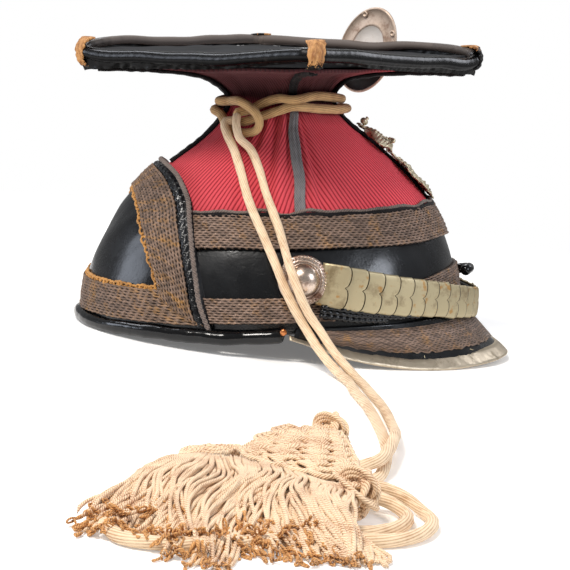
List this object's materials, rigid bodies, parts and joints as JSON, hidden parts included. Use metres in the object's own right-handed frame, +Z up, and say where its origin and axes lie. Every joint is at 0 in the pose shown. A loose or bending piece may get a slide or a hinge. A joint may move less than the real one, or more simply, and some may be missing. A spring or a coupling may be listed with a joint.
{
  "type": "czapka",
  "caption": "Lancer's cap with a square top board, waisted cloth body, peak, rear guard, laces, chin scales, front plate, cockade and a tasselled cap line laid out beside it.",
  "frame": {"origin": "centre of the cap's box, on the surface it rests on", "axes": "+X towards the peak, +Y to the wearer's left, +Z up"},
  "size_m": [0.2728, 0.5642, 0.1974],
  "materials": {
    "patent_leather": "glossy, lightly crazed",
    "black_leather": "worn satin",
    "tan_leather": "scuffed through to the tan",
    "red_cloth": "napped wool",
    "tarnished_lace": "tarnished metal thread",
    "grey_tape": "woven, matt",
    "pale_brass": "dulled",
    "nickel_silver": "dented, satin",
    "worn_silver": "worn plate over copper",
    "aged_silver": "dark in its hollows",
    "cream_cord": "soft wool cord, browned at the ends"
  },
  "bodies": {
    "root": {"skull": "patent_leather", "rear_guard": "patent_leather", "rim_binding": "patent_leather", "peak": "patent_leather", "top_board": "patent_leather", "guard_edge_cord": "black_leather", "board_edge_roll": "black_leather", "chin_strap": "black_leather", "strap_keeper": "black_leather", "corner_wrap_front": "tan_leather", "corner_wrap_left": "tan_leather", "corner_wrap_rear": "tan_leather", "corner_wrap_right": "tan_leather", "cloth_cover": "red_cloth", "guard_lace": "tarnished_lace", "guard_rim_lace": "tarnished_lace", "upper_lace": "tarnished_lace", "lower_lace": "tarnished_lace", "peak_lace": "tarnished_lace", "seam_braid_front": "grey_tape", "seam_braid_left": "grey_tape", "seam_braid_rear": "grey_tape", "seam_braid_right": "grey_tape", "chin_scale_left_01": "pale_brass", "chin_scale_left_02": "pale_brass", "chin_scale_left_03": "pale_brass", "chin_scale_left_04": "pale_brass", "chin_scale_left_05": "pale_brass", "chin_scale_left_06": "pale_brass", "chin_scale_left_07": "pale_brass", "chin_scale_left_08": "pale_brass", "chin_scale_left_09": "pale_brass", "chin_scale_left_10": "pale_brass", "chin_scale_left_11": "pale_brass", "chin_scale_left_12": "pale_brass", "chin_scale_right_01": "pale_brass", "chin_scale_right_02": "pale_brass", "chin_scale_right_03": "pale_brass", "chin_scale_right_04": "pale_brass", "chin_scale_right_05": "pale_brass", "chin_scale_right_06": "pale_brass", "chin_scale_right_07": "pale_brass", "chin_scale_right_08": "pale_brass", "chin_scale_right_09": "pale_brass", "chin_scale_right_10": "pale_brass", "chin_scale_right_11": "pale_brass", "chin_scale_right_12": "pale_brass", "chin_scales_front": "pale_brass", "peak_trim": "nickel_silver", "boss_left": "worn_silver", "boss_right": "worn_silver", "cockade": "worn_silver", "front_plate": "aged_silver", "cap_line_waist": "cream_cord", "cap_line_a": "cream_cord", "cap_line_b": "cream_cord", "flounder_large": "cream_cord", "flounder_small": "cream_cord", "fringe_large": "cream_cord", "fringe_small": "cream_cord"}
  },
  "joints": []
}
